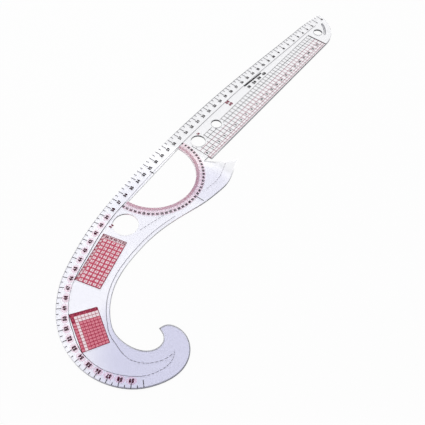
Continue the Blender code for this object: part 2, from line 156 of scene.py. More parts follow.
class Run:
    """A run of points with the distance along it, and its left-hand side."""

    def __init__(self, points: Iterable[Sequence[float]]) -> None:
        """Measure the run.

        Args:
            points: the run's points in order.
        """
        self.points = np.array(list(points), float)
        steps = np.linalg.norm(np.diff(self.points, axis=0), axis=1)
        self.distances = np.concatenate([[0.0], np.cumsum(steps)])
        self.length = float(self.distances[-1])
        along = np.gradient(self.points, self.distances, axis=0)
        along /= np.linalg.norm(along, axis=1, keepdims=True)
        self.left = np.stack([-along[:, 1], along[:, 0]], axis=1)

    def side(self, place: float) -> Point:
        """The direction to the left at a distance along the run."""
        side = np.array([np.interp(place, self.distances, column) for column in self.left.T])
        return side / np.linalg.norm(side)

    def at(self, place: float, inset: float = 0.0) -> Point:
        """A point at a distance along the run, moved to the left by the inset."""
        point = np.array([np.interp(place, self.distances, column) for column in self.points.T])
        return point + inset * self.side(place)

    def between(self, start: float, end: float, inset: Inset, step: float = 0.0015) -> list[Point]:
        """Points of a line beside the run.

        Args:
            start: the distance where the line starts.
            end: the distance where it ends.
            inset: how far the line lies to the left, as a function of the distance.
            step: the spacing of the points.

        Returns:
            The points in order.
        """
        count = max(2, math.ceil((end - start) / step) + 1)
        return [self.at(place, inset(place)) for place in np.linspace(start, end, count)]


def corners_of(loop: np.ndarray, sharp: float) -> list[int]:
    """Find a closed loop's corners.

    Args:
        loop: the loop's points.
        sharp: the turn in radians from which a point is a corner.

    Returns:
        The corners' indices in order.
    """
    corners = []
    for index in range(len(loop)):
        before = loop[index] - loop[index - 1]
        after = loop[(index + 1) % len(loop)] - loop[index]
        cross = before[0] * after[1] - before[1] * after[0]
        if abs(math.atan2(cross, float(before @ after))) > sharp:
            corners.append(index)
    return corners


def round_off(loop: np.ndarray, sharp: float, uneven: float = 2.5) -> np.ndarray:
    """Add a point in the middle of each step of a closed loop, on the curve through its neighbours.

    Args:
        loop: the loop's points.
        sharp: the turn in radians from which a point is a corner, which the curve doesn't pass.
        uneven: how much longer than a neighbour a step may be and still be curved.

    Returns:
        The loop with twice as many points.
    """
    count = len(loop)
    corners = set(corners_of(loop, sharp))
    points = []
    for index in range(count):
        start, end = loop[index], loop[(index + 1) % count]
        before = start + start - end if index in corners else loop[index - 1]
        after = end + end - start if (index + 1) % count in corners else loop[(index + 2) % count]
        spans = [np.linalg.norm(start - before), np.linalg.norm(end - start), np.linalg.norm(after - end)]
        middle = (start + end) / 2
        if max(spans) < uneven * min(spans):
            middle = (NEAR_WEIGHT * (start + end) - before - after) / WEIGHTS
        points += [start, middle]
    return np.array(points)


@dataclass
class Protractor:
    """The D shaped cut-out: the middle of its straight side, its radius and its tilt."""

    centre: Point
    radius: float
    tilt: float

    @classmethod
    def from_rim(cls, rim: np.ndarray, sharp: float) -> "Protractor":
        """The cut-out that has this rim.

        Args:
            rim: the closed rim.
            sharp: the turn from which a point is a corner.

        Returns:
            The cut-out.
        """
        corners = sorted((rim[index] for index in corners_of(rim, sharp)), key=lambda corner: corner[0])
        left, right = corners[0], corners[-1]
        along = right - left
        return cls((left + right) / 2, float(np.linalg.norm(along)) / 2, math.atan2(along[1], along[0]))

    def at(self, angle: float, radius: float) -> Point:
        """A point round the cut-out. The angle counts clockwise from the straight side's right end."""
        turned = self.tilt - angle
        return self.centre + radius * np.array([math.cos(turned), math.sin(turned)])


@dataclass
class Sheet:
    """The sheet's rims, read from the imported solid, and the edges and cut-outs that the print follows."""

    node: str = "ruler_plate"
    sharp_turn: float = math.radians(30)
    upward: float = 0.9
    outer_swell: Triple = (0.607, 0.105, 0.0018)
    bay_swell: Triple = (0.74, 0.34, 0.0015)

    def __post_init__(self) -> None:
        """Read the rims and find the outer edge, the bay's edge, the heel and the cut-outs."""
        low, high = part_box(self.node)
        self.bottom, self.top = low.z, high.z
        self.loops = sorted(self.rims(), key=lambda loop: -float(np.prod(np.ptp(loop, axis=0))))
        outline = self.loops[0]
        outline = np.roll(outline, -int(outline[:, 0].argmax()), axis=0)
        corners = corners_of(outline, self.sharp_turn)
        tip, spur = corners[1], corners[2]
        outline[: tip + 1] = self.swollen(Run(outline[: tip + 1]), self.outer_swell)
        outline[tip : spur + 1] = self.swollen(Run(outline[tip : spur + 1]), self.bay_swell)
        self.loops[0] = outline
        self.outer_edge = Run(outline[: tip + 1])
        self.bay_edge = Run(outline[tip : spur + 1])
        self.heel = outline[corners[-1]]
        self.protractor = Protractor.from_rim(self.loops[1], self.sharp_turn)
        rounds = sorted(self.loops[2:], key=lambda loop: -float(np.ptp(loop[:, 0])))
        self.holes = [((rim.min(0) + rim.max(0)) / 2, float(np.ptp(rim[:, 0])) / 2) for rim in rounds]
        self.slot = max(range(2, len(self.loops)), key=lambda index: self.out_of_round(self.loops[index]))

    @staticmethod
    def out_of_round(rim: np.ndarray) -> float:
        """How far a rim is from round: the spread of its points' distances from their middle."""
        return float(np.std(np.linalg.norm(rim - rim.mean(0), axis=1)))

    @staticmethod
    def swollen(run: Run, swell: Triple) -> np.ndarray:
        """Ease the points of an edge outwards over a stretch, by a millimetre or so.

        Args:
            run: the edge, with the material on its left.
            swell: the stretch's middle and half its length as shares of the edge, and the most it moves.

        Returns:
            The moved points.
        """
        middle, half, height = swell
        away = np.clip(np.abs(run.distances / run.length - middle) / half, 0, 1)
        return run.points - run.left * (height * np.cos(away * math.pi / 2) ** 2)[:, None]

    def rims(self) -> list[np.ndarray]:
        """Follow the rims of the upper face.

        Returns:
            Each closed rim's points, with the material on its left.
        """
        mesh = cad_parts[self.node].data
        steps = set()
        for polygon in mesh.polygons:
            if polygon.normal.z < self.upward:
                continue
            places = (mesh.vertices[index].co[:2] for index in polygon.vertices)
            corners = [tuple(round(value, 6) for value in place) for place in places]
            steps.update(zip(corners, corners[1:] + corners[:1]))
        following = {start: end for start, end in steps if (end, start) not in steps}
        loops = []
        while following:
            first = min(following)
            loop, point = [first], following.pop(first)
            while point != first:
                loop.append(point)
                point = following.pop(point)
            loops.append(np.array(loop))
        return loops

    def from_heel(self, x: float, y: float) -> Point:
        """A point of the sheet by its distances from the heel."""
        return self.heel + np.array([x, y])


class Digits:
    """The digits' shapes, flat and one unit high, made once from Blender's own font."""

    curve_steps: int = 4

    def __init__(self, boldness: float, gap: float) -> None:
        """Make the digits. The 9 is the 6 turned round.

        Args:
            boldness: how far the strokes grow.
            gap: the room between two digits, in digit heights.
        """
        self.gap = gap
        self.shapes = {digit: self.shape(digit, boldness) for digit in "012345678"}
        points, faces = self.shapes["6"]
        self.shapes["9"] = (points.max(0) - points, faces)

    def shape(self, digit: str, boldness: float) -> tuple[np.ndarray, Faces]:
        """A digit's points and faces.

        Args:
            digit: the digit.
            boldness: how far the strokes grow.

        Returns:
            The points, with the digit one unit high and starting at zero, and the faces.
        """
        words = bpy.data.curves.new("digit", "FONT")
        words.body = digit
        words.offset = boldness
        words.resolution_u = self.curve_steps
        holder = in_scene("digit", words)
        graph = bpy.context.evaluated_depsgraph_get()
        mesh = bpy.data.meshes.new_from_object(holder.evaluated_get(graph))
        points = np.array([vertex.co[:2] for vertex in mesh.vertices])
        faces = [tuple(polygon.vertices) for polygon in mesh.polygons]
        points = (points - points.min(0)) / float(np.ptp(points[:, 1]))
        bpy.data.objects.remove(holder)
        bpy.data.curves.remove(words)
        bpy.data.meshes.remove(mesh)
        return points, faces

    def width(self, number: str) -> float:
        """How wide a number is, in digit heights."""
        widths = [float(np.ptp(self.shapes[digit][0][:, 0])) for digit in number]
        return sum(widths) + self.gap * (len(number) - 1)


def in_scene(name: str, data: bpy.types.ID) -> bpy.types.Object:
    """Add an object to the scene.

    Args:
        name: its name.
        data: its mesh, curve, lamp or camera.

    Returns:
        The object.
    """
    thing = bpy.data.objects.new(name, data)
    bpy.context.scene.collection.objects.link(thing)
    return thing


def settle(piece: bpy.types.Object, slot: str, nodes: Sequence[str]) -> None:
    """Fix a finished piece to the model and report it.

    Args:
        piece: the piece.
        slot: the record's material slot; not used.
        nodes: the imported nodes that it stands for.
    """
    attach(piece, "root")
    if nodes:
        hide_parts(*nodes)
    stands_for = ", ".join(nodes) or "print only"
    LOG.info("%s: %d faces, stands for %s", piece.name, len(piece.data.polygons), stands_for)


class NodeDesk:
    """Places and joins the nodes of one material or node group."""

    def __init__(self, tree: bpy.types.NodeTree) -> None:
        """Work in this node tree."""
        self.tree = tree

    def fill(self, node: bpy.types.Node, inputs: dict) -> None:
        """Fill a node's inputs.

        Args:
            node: the node.
            inputs: a value or an output socket for each input, by its name or place.
        """
        for key, value in inputs.items():
            if isinstance(value, Socket):
                self.tree.links.new(value, node.inputs[key])
            else:
                node.inputs[key].default_value = value

    def put(self, kind: str, inputs: Optional[dict] = None, **settings: object) -> bpy.types.Node:
        """Place a node.

        Args:
            kind: the node's type.
            inputs: what fills its inputs.
            settings: the node's own settings.

        Returns:
            The node.
        """
        node = self.tree.nodes.new(kind)
        for name, value in settings.items():
            setattr(node, name, value)
        self.fill(node, inputs or {})
        return node

    def maths(self, operation: str, first: object, second: object = 0.0, clamp: bool = False) -> Socket:
        """The result of a Math node on two values."""
        inputs = {0: first, 1: second}
        return self.put("ShaderNodeMath", inputs, operation=operation, use_clamp=clamp).outputs[0]

    def remap(
        self,
        value: Socket,
        ends: Sequence[float],
        results: Sequence[object] = (0.0, 1.0),
        fade: str = "LINEAR",
    ) -> Socket:
        """Carry a value from one range to another.

        Args:
            value: the value.
            ends: the range that it comes from.
            results: the range that it goes to.
            fade: the kind of interpolation.

        Returns:
            The result.
        """
        inputs = dict(enumerate((value, *ends, *results)))
        return self.put("ShaderNodeMapRange", inputs, interpolation_type=fade).outputs[0]

    def blend(self, mask: Socket, first: object, second: object) -> Socket:
        """The colour between two, first at mask 0 and second at mask 1."""
        return self.put("ShaderNodeMix", {0: mask, 6: first, 7: second}, data_type="RGBA").outputs[2]


def rgba(colour: Triple) -> tuple[float, float, float, float]:
    """The colour with full cover."""
    return (*colour, 1.0)


def new_group(name: str, inputs: dict[str, str], output: str) -> tuple[bpy.types.NodeTree, NodeDesk, dict]:
    """Start a node group with named sockets.

    Args:
        name: the group's name.
        inputs: the kind of each input, Float, Color or Vector.
        output: its output, a colour where it is named Colour and otherwise a value.

    Returns:
        The group, a desk to fill it, and its inputs by name.
    """
    group = bpy.data.node_groups.new(name, "ShaderNodeTree")
    for socket, kind in inputs.items():
        group.interface.new_socket(socket, in_out="INPUT", socket_type=f"NodeSocket{kind}")
    kind = "NodeSocketColor" if output == "Colour" else "NodeSocketFloat"
    group.interface.new_socket(output, in_out="OUTPUT", socket_type=kind)
    desk = NodeDesk(group)
    return group, desk, desk.put("NodeGroupInput").outputs


def new_material(name: str) -> tuple[bpy.types.Material, NodeDesk, bpy.types.Node]:
    """Start a material.

    Args:
        name: its name.

    Returns:
        The material, a desk to fill it, and its shader.
    """
    material = bpy.data.materials.new(name)
    material.use_nodes = True
    return material, NodeDesk(material.node_tree), material.node_tree.nodes["Principled BSDF"]


class InkShop:
    """Makes each ink's material once. All inks share one group for how unevenly a screen print covers."""

    tail: Pair = (-0.085, -0.15)
    grain: float = 900.0
    grain_detail: float = 3.0
    grain_ends: Pair = (0.45, 0.7)

    def __init__(self) -> None:
        """Build the shared group."""
        self.made: dict[Inks, bpy.types.Material] = {}
        self.group = self.cover_group()

    def cover_group(self) -> bpy.types.NodeTree:
        """Build the group that mixes an ink's colour, its tail's and the thin ink's over the sheet.

        Returns:
            The group.
        """
        inputs = dict.fromkeys(("Blade Colour", "Tail Colour", "Thin Colour"), "Color")
        inputs["Unevenness"] = "Float"
        group, desk, given = new_group("Print cover", inputs, "Colour")
        place = desk.put("ShaderNodeTexCoord").outputs["Object"]
        apart = desk.put("ShaderNodeSeparateXYZ", {0: place}).outputs
        base = desk.blend(desk.remap(apart["X"], self.tail), given["Blade Colour"], given["Tail Colour"])
        noise = {"Vector": place, "Scale": self.grain, "Detail": self.grain_detail}
        spots = desk.remap(desk.put("ShaderNodeTexNoise", noise).outputs[0], self.grain_ends)
        amount = desk.maths("MULTIPLY", spots, given["Unevenness"])
        desk.put("NodeGroupOutput", {"Colour": desk.blend(amount, base, given["Thin Colour"])})
        return group

    def material(self, ink: Inks) -> bpy.types.Material:
        """Find or make an ink's material.

        Args:
            ink: the ink.

        Returns:
            Its material.
        """
        if ink in self.made:
            return self.made[ink]
        finish = ink.value
        material, desk, shader = new_material(finish.name)
        colours = {
            "Blade Colour": rgba(finish.colour),
            "Tail Colour": rgba(finish.tail_colour or finish.colour),
            "Thin Colour": rgba(finish.thin_colour),
            "Unevenness": finish.unevenness,
        }
        cover = desk.put("ShaderNodeGroup", colours, node_tree=self.group)
        desk.fill(shader, {
            "Base Color": cover.outputs["Colour"],
            "Roughness": finish.roughness,
            "Specular IOR Level": finish.shine,
            "Alpha": finish.alpha,
        })
        self.made[ink] = material
        return material


class Print:
    """One layer of ink: flat faces that are gathered and then laid on the sheet."""

    thickness: float = 0.00003

    def __init__(self, name: str, ink: Inks, layer: Layer, *nodes: str) -> None:
        """Start an empty layer.

        Args:
            name: the piece's name.
            ink: its ink.
            layer: how high it lies.
            nodes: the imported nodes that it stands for.
        """
        self.name, self.ink, self.layer, self.nodes = name, ink, layer, nodes
        self.points: list[Pair] = []
        self.faces: Faces = []

    def add(self, points: Iterable[Sequence[float]], faces: Iterable[Sequence[int]]) -> None:
        """Add faces.

        Args:
            points: their points.
            faces: each face as indices into these points.
        """
        first = len(self.points)
        self.points.extend((float(point[0]), float(point[1])) for point in points)
        self.faces.extend(tuple(first + index for index in face) for face in faces)

    def strip(self, near: Sequence[Point], far: Sequence[Point]) -> None:
        """Add a strip between two runs of points.

        Args:
            near: one side's points.
            far: the other side's, which lies to the left.
        """
        count = len(near)
        faces = [(index, index + 1, count + index + 1, count + index) for index in range(count - 1)]
        self.add([*near, *far], faces)

    def bar(self, start: Point, end: Point, width: float) -> None:
        """Add a straight bar.

        Args:
            start: where it starts.
            end: where it ends.
            width: its width.
        """
        start, end = np.array(start, float), np.array(end, float)
        side = left_of((end - start) / np.linalg.norm(end - start)) * width / 2
        self.strip([start - side, end - side], [start + side, end + side])

    def line(
        self, run: Run, start: float, end: float, inset: Inset, width: float, dash: Pair = UNBROKEN
    ) -> None:
        """Add a line beside a run.

        Args:
            run: the run.
            start: the distance along the run where the line starts.
            end: the distance where it ends.
            inset: how far the line's middle lies to the left.
            width: the line's width.
            dash: the lengths of a dash and of a gap.
        """
        while start < end:
            stop = min(start + dash[0], end)
            near = run.between(start, stop, lambda place: inset(place) - width / 2)
            far = run.between(start, stop, lambda place: inset(place) + width / 2)
            self.strip(near, far)
            start += sum(dash)

    def spot(self, middle: Point, along: Point, radii: Pair, corners: int = 20) -> None:
        """Add an oval spot.

        Args:
            middle: its middle.
            along: its long direction.
            radii: its two radii, the long one first.
            corners: how many corners it has.
        """
        along = along / np.linalg.norm(along)
        reach, side = along * radii[0], left_of(along) * radii[1]
        turns = [math.tau * index / corners for index in range(corners)]
        rim = [middle + reach * math.cos(turn) + side * math.sin(turn) for turn in turns]
        self.add(rim, [range(corners)])

    def number(
        self, digits: Digits, value: int, middle: Point, along: Point, height: float, room: float = math.inf
    ) -> None:
        """Add a number.

        Args:
            digits: the digits' shapes.
            value: the number.
            middle: where its middle lies.
            along: the direction in which it reads.
            height: how high its digits are.
            room: how wide it may be. A wider number is printed narrower to fit.
        """
        text = str(value)
        along = along / np.linalg.norm(along)
        up = left_of(along)
        along = along * min(1.0, room / (height * digits.width(text)))
        pen = -digits.width(text) / 2
        for digit in text:
            shape, faces = digits.shapes[digit]
            self.add(middle + height * ((shape[:, :1] + pen) * along + (shape[:, 1:] - 0.5) * up), faces)
            pen += float(np.ptp(shape[:, 0])) + digits.gap

    def lay(self, sheet: Sheet, shop: InkShop) -> None:
        """Lay the ink on the sheet.

        Args:
            sheet: the sheet.
            shop: where the ink's material comes from.
        """
        mesh = bpy.data.meshes.new(self.name)
        mesh.from_pydata([(x, y, 0.0) for x, y in self.points], [], self.faces)
        mesh.materials.append(shop.material(self.ink))
        piece = in_scene(self.name, mesh)
        piece.location.z = sheet.top + self.layer.value
        thicken = piece.modifiers.new("Ink thickness", "SOLIDIFY")
        thicken.thickness = self.thickness
        thicken.offset = 1
        settle(piece, self.ink.value.slot, self.nodes)


@dataclass
class ClearSheet:
    """The cut sheet of clear plastic, with its rims eased a little, painted shade on its walls that face -Y,
    deepest in some patches, and the shade lifted with a painted glow in others.

    A patch is a soft round place on the sheet: its x and y, its radius and its strength.
    """

    sheet: Sheet
    finish: SheetFinish = SheetFinish()
    ease: float = 0.0003
    ease_height: float = 0.7
    edge_ease: float = 0.0005
    hook_ease: float = 0.0009
    hook_place: Triple = (-0.190, -0.120, 0.100)
    hook_fade: float = 2.0
    slot_ease: float = 0.0009
    slot_narrowing: float = 0.0006
    least_stretch: float = 0.5
    wall_steepness: Pair = (0.95, 0.85)
    # Painted shade: the range of a wall's facing in Y over which it turns from unshaded to shaded.
    wall_turn: Pair = (0.35, -0.25)
    patch_fade: Pair = (1.0, 0.35)
    scratch_scale: float = 60.0
    scratch_detail: float = 5.0
    scratch_stretch: Triple = (1.0, 22.0, 1.0)
    scratch_ends: Pair = (0.56, 0.72)
    # Soft patches where the plastic's tint turns bluer and darker, in the tail and the spur.
    deep_patches: tuple[Patch, ...] = (
        (-0.186, -0.088, 0.090, 1.0),
        (-0.175, -0.015, 0.095, 0.36),
        (-0.088, 0.002, 0.078, 0.42),
        (-0.030, -0.018, 0.036, 0.62),
    )
    # Painted shade: patches where the walls that face -Y get the deepest painted shade.
    deep_walls: tuple[Patch, ...] = ((0.120, 0.000, 0.240, 1.0), (-0.190, -0.095, 0.110, 1.0))
    # Patches where the walls' painted shade is lifted and the walls get a painted glow.
    pale_walls: tuple[Patch, ...] = (
        (-0.053, 0.039, 0.075, 0.95),
        (0.010, -0.016, 0.022, 0.95),
        (-0.105, -0.012, 0.070, 0.6),
        (0.262, 0.022, 0.034, 0.9),
    )
    # Patches of painted shade on the walls all round the slot and the hanging hole.
    slot_patches: int = 6
    slot_patch_radius: float = 0.009
    hanging_hole_radius: float = 0.014

    def ease_at(self, loop: np.ndarray) -> np.ndarray:
        """Find how far a rim is eased: more on the straight edge, and most round the hook.

        Args:
            loop: the rim's points.

        Returns:
            The ease at each point.
        """
        x, y, radius = self.hook_place
        away = np.linalg.norm(loop - self.sheet.from_heel(x, y), axis=1) / radius
        share = np.clip(self.hook_fade * (1 - away), 0, 1)
        ease = self.ease + (self.hook_ease - self.ease) * share
        straight = (np.abs(loop[:, 1] - self.sheet.heel[1]) < MILLIMETRE) & (loop[:, 0] >= self.sheet.heel[0])
        return np.where(straight, self.edge_ease, ease)

    def eased(self, loop: np.ndarray, inset: np.ndarray) -> np.ndarray:
        """Move a rim to its left, into the material.

        Args:
            loop: the rim's points.
            inset: how far each point moves.

        Returns:
            The moved points.
        """
        before = loop - np.roll(loop, 1, axis=0)
        after = np.roll(loop, -1, axis=0) - loop
        before /= np.linalg.norm(before, axis=1, keepdims=True)
        after /= np.linalg.norm(after, axis=1, keepdims=True)
        along = before + after
        along /= np.linalg.norm(along, axis=1, keepdims=True)
        left = np.stack([-along[:, 1], along[:, 0]], axis=1)
        stretch = np.maximum((along * after).sum(1), self.least_stretch)
        return loop + left * (inset / stretch)[:, None]

    def mesh(self) -> bpy.types.Mesh:
        """Build four rings round each rim, join them by walls and fill them above and below.

        Returns:
            The sheet's mesh.
        """
        sheet = self.sheet
        loops = [round_off(loop, sheet.sharp_turn) for loop in sheet.loops]
        slot = loops[sheet.slot]
        loops[sheet.slot] = self.eased(slot, np.full(len(slot), -self.slot_narrowing))
        eases = [self.ease_at(loop) for loop in loops]
        eases[sheet.slot][:] = self.slot_ease
        inner_loops = [self.eased(loop, ease) for loop, ease in zip(loops, eases)]
        points: list[Triple] = []
        faces: Faces = []
        lower_lid: list[int] = []
        upper_lid: list[int] = []
        for loop, inner, ease in zip(loops, inner_loops, eases):
            count, first = len(loop), len(points)
            rise, level = self.ease_height * ease, np.ones(count)
            rings = (
                (inner, sheet.bottom * level),
                (loop, sheet.bottom + rise),
                (loop, sheet.top - rise),
                (inner, sheet.top * level),
            )
            for ring, heights in rings:
                points.extend((x, y, height) for (x, y), height in zip(ring, heights))
            lower_lid.extend(range(first, first + count))
            upper_lid.extend(range(len(points) - count, len(points)))
            for low in range(first, len(points) - count, count):
                for index in range(count):
                    following = (index + 1) % count
                    faces.append((low + index, low + following, low + count + following, low + count + index))
        flat = [[Vector((x, y, 0.0)) for x, y in inner] for inner in inner_loops]
        for triangle in tessellate_polygon(flat):
            upper = [upper_lid[index] for index in triangle]
            lower = [lower_lid[index] for index in triangle]
            start, second, third = (np.array(points[index][:2]) for index in upper)
            if left_of(second - start) @ (third - start) < 0:
                upper, lower = upper[::-1], lower[::-1]
            faces.append(tuple(upper))
            faces.append(tuple(reversed(lower)))
        mesh = bpy.data.meshes.new("clear_sheet")
        mesh.from_pydata(points, [], faces)
        mesh.shade_smooth()
        mesh.set_sharp_from_angle(angle=sheet.sharp_turn)
        return mesh

    def patch_group(self) -> bpy.types.NodeTree:
        """Build the group whose mask is full at a patch's centre and fades out at its radius.

        Returns:
            The group.
        """
        inputs = {"Centre": "Vector", "Radius": "Float", "Strength": "Float"}
        group, desk, given = new_group("Soft patch", inputs, "Mask")
        place = desk.put("ShaderNodeTexCoord").outputs["Object"]
        away = desk.put("ShaderNodeVectorMath", {0: place, 1: given["Centre"]}, operation="DISTANCE")
        share = desk.maths("DIVIDE", away.outputs["Value"], given["Radius"])
        fade = desk.remap(share, self.patch_fade, fade="SMOOTHSTEP")
        desk.put("NodeGroupOutput", {"Mask": desk.maths("MULTIPLY", fade, given["Strength"])})
        return group

    def spread(self, desk: NodeDesk, group: bpy.types.NodeTree, patches: Iterable[Patch]) -> Socket:
        """Mask several patches together.

        Args:
            desk: the desk of the material.
            group: the patch's group.
            patches: the patches.

        Returns:
            The strongest patch's mask at each point.
        """
        mask: object = 0.0
        for x, y, radius, strength in patches:
            centre = (*self.sheet.from_heel(x, y), self.sheet.top)
            inputs = {"Centre": centre, "Radius": radius, "Strength": strength}
            patch = desk.put("ShaderNodeGroup", inputs, node_tree=group).outputs["Mask"]
            mask = desk.maths("MAXIMUM", patch, mask)
        return mask

    def scratch_group(self) -> bpy.types.NodeTree:
        """Build the group whose mask marks the fine rubbed streaks of a much used sheet.

        Returns:
            The group.
        """
        group, desk, _ = new_group("Rubbed streaks", {}, "Mask")
        place = desk.put("ShaderNodeTexCoord").outputs["Object"]
        inputs = {0: place, 1: self.scratch_stretch}
        stretched = desk.put("ShaderNodeVectorMath", inputs, operation="MULTIPLY")
        streaks = {"Vector": stretched.outputs[0], "Scale": self.scratch_scale, "Detail": self.scratch_detail}
        noise = desk.put("ShaderNodeTexNoise", streaks).outputs[0]
        desk.put("NodeGroupOutput", {"Mask": desk.remap(noise, self.scratch_ends)})
        return group

    def cut_patches(self) -> list[Patch]:
        """Place patches on the slot's rim and on the hanging hole, where the walls get painted shade all
        round.

        Returns:
            The patches.
        """
        sheet = self.sheet
        rim = sheet.loops[sheet.slot] - sheet.heel
        patches = [(x, y, self.slot_patch_radius, 1.0) for x, y in rim[:: len(rim) // self.slot_patches]]
        return [*patches, (*(sheet.holes[-1][0] - sheet.heel), self.hanging_hole_radius, 1.0)]

    def material(self) -> bpy.types.Material:
        """Make clear tinted plastic, bluer and darker in soft patches in the tail and the spur, with painted
        shade on its cut walls and a painted glow on some of them.

        Returns:
            The material.
        """
        finish = self.finish
        material, desk, shader = new_material(finish.name)
        group = self.patch_group()
        tinted = self.spread(desk, group, self.deep_patches)
        face = desk.blend(tinted, rgba(finish.face_tint), rgba(finish.deep_tint))
        # Painted shade round the slot and the hanging hole.
        cut_shade_mask = self.spread(desk, group, self.cut_patches())
        dark_shade_mask = desk.maths("MAXIMUM", self.spread(desk, group, self.deep_walls), cut_shade_mask)
        # Pale patches lift the walls' painted shade and give them a painted glow.
        pale = desk.maths("SUBTRACT", self.spread(desk, group, self.pale_walls), cut_shade_mask, clamp=True)
        normal = desk.put("ShaderNodeNewGeometry").outputs["Normal"]
        facing = desk.put("ShaderNodeSeparateXYZ", {0: normal}).outputs
        wall = desk.remap(desk.maths("ABSOLUTE", facing["Z"]), self.wall_steepness)
        # Painted shade: walls facing -Y are shaded, less in the pale patches, and fully round the slot and
        # the hanging hole.
        lower = desk.maths("SUBTRACT", desk.remap(facing["Y"], self.wall_turn), pale, clamp=True)
        lower = desk.maths("MAXIMUM", lower, cut_shade_mask)
        shaded = desk.blend(dark_shade_mask, rgba(finish.lower_wall_tint), rgba(finish.deep_wall_tint))
        walls = desk.blend(lower, rgba(finish.upper_wall_tint), shaded)
        scratches = desk.put("ShaderNodeGroup", node_tree=self.scratch_group()).outputs["Mask"]
        rubbed = desk.remap(scratches, (0.0, 1.0), (finish.roughness, finish.worn_roughness))
        desk.fill(shader, {
            "Base Color": desk.blend(wall, face, walls),
            "Roughness": desk.remap(wall, (0.0, 1.0), (rubbed, finish.wall_roughness)),
            "IOR": finish.refraction,
            "Transmission Weight": 1.0,
            # Painted glow on the walls in the pale patches.
            "Emission Color": desk.blend(desk.maths("MULTIPLY", wall, pale), NO_GLOW, rgba(finish.wall_glow)),
            "Emission Strength": 1.0,
        })
        return material

    def build(self) -> None:
        """Build the sheet and dress it."""
        mesh = self.mesh()
        mesh.materials.append(self.material())
        settle(in_scene("clear_sheet", mesh), self.finish.slot, [self.sheet.node])


@dataclass
class Field:
    """A field of print: the sheet that it lies on and the shop that its inks come from."""

    sheet: Sheet
    shop: InkShop

    def place(self, x: float, y: float) -> Point:
        """A point of the sheet by its distances from the heel."""
        return self.sheet.from_heel(x, y)

    def lay(self, *layers: Print) -> None:
        """Lay these layers of ink on the sheet."""
        for layer in layers:
            layer.lay(self.sheet, self.shop)


@dataclass
class EdgeScale(Field):
    """The scale along the outer edge: its ticks, numerals and the border line inside them.

    Insets are given by numeral, and the border's widths and insets by share of the edge.
    """

    digits: Digits
    first_tick: float = 0.005
    pitch: float = 0.005
    last_number: int = 60
    margin: float = 0.0003
    long_tick: float = 0.0045
    short_tick: float = 0.0025
    last_tick: float = 0.0062
    tick_width: float = 0.00065
    blade_tick_growth: float = 1.4
    growth_numbers: Pair = (30, 45)
    numeral_height: float = 0.0035
    numeral_room: float = 0.0040
    numeral_insets: Pairs = (
        (34, 0.0085), (36, 0.0079), (47, 0.0077), (50, 0.0069), (53, 0.0064), (57, 0.0061),
    )
    blush_number: int = 39
    blush_radii: Pair = (0.0042, 0.0031)
    border_widths: Pairs = (
        (0.420, 0.00060), (0.535, 0.00035), (0.672, 0.00065), (0.722, 0.00025), (0.790, 0.00055),
        (1.000, 0.00035),
    )
    seam_inset: float = 0.010
    border_start_share: float = 0.03
    border_insets: Pairs = (
        (0.00, 1.10), (0.15, 1.25), (0.30, 1.40), (0.41, 1.46), (0.53, 1.31), (0.56, 1.20),
        (0.60, 1.20), (0.63, 1.23), (0.65, 1.17), (0.68, 1.05), (0.72, 1.02), (0.75, 1.10),
        (0.78, 0.90), (0.82, 0.89), (0.85, 0.96), (0.88, 0.90), (1.00, 1.05),
    )

    def border(self, place: float) -> float:
        """How far the border line lies inside the outer edge at a distance along it."""
        share = place / self.sheet.outer_edge.length
        return self.seam_inset * float(np.interp(share, *zip(*self.border_insets)))

    def scale_end(self) -> float:
        """The distance along the outer edge where the last tick stands."""
        return self.first_tick + self.last_number * CENTIMETRE

    def build(self) -> None:
        """Print the ticks, the numerals and the border line."""
        edge = self.sheet.outer_edge
        ticks = Print("edge_scale_ticks", Inks.GREY, Layer.RULE, "edge_scale")
        numerals = Print("edge_scale_numerals", Inks.NUMERAL, Layer.LETTER)
        blush = Print("edge_scale_blush", Inks.BLUSH, Layer.TINT)
        for index in range(2 * self.last_number + 1):
            number, place = index / 2, self.first_tick + index * self.pitch
            growth = float(np.interp(number, self.growth_numbers, (self.blade_tick_growth, 1.0)))
            reach = growth * (self.short_tick if index % 2 else self.long_tick)
            if number == self.last_number:
                reach = self.last_tick
            elif index % 2 == 0:
                reading = left_of(edge.side(place))
                middle = edge.at(place, float(np.interp(number, *zip(*self.numeral_insets))))
                size = (self.numeral_height, self.numeral_room)
                numerals.number(self.digits, int(number), middle, reading, *size)
                if number >= self.blush_number:
                    blush.spot(middle, reading, self.blush_radii)
            ticks.bar(edge.at(place, self.margin), edge.at(place, reach), self.tick_width * growth)
        border = Print("scale_border", Inks.GREY, Layer.RULE, "scale_border_line")
        start = edge.length * self.border_start_share
        for share, width in self.border_widths:
            end = min(edge.length * share, self.scale_end())
            border.line(edge, start, end, self.border, width)
            start = end
        self.lay(blush, ticks, numerals, border)


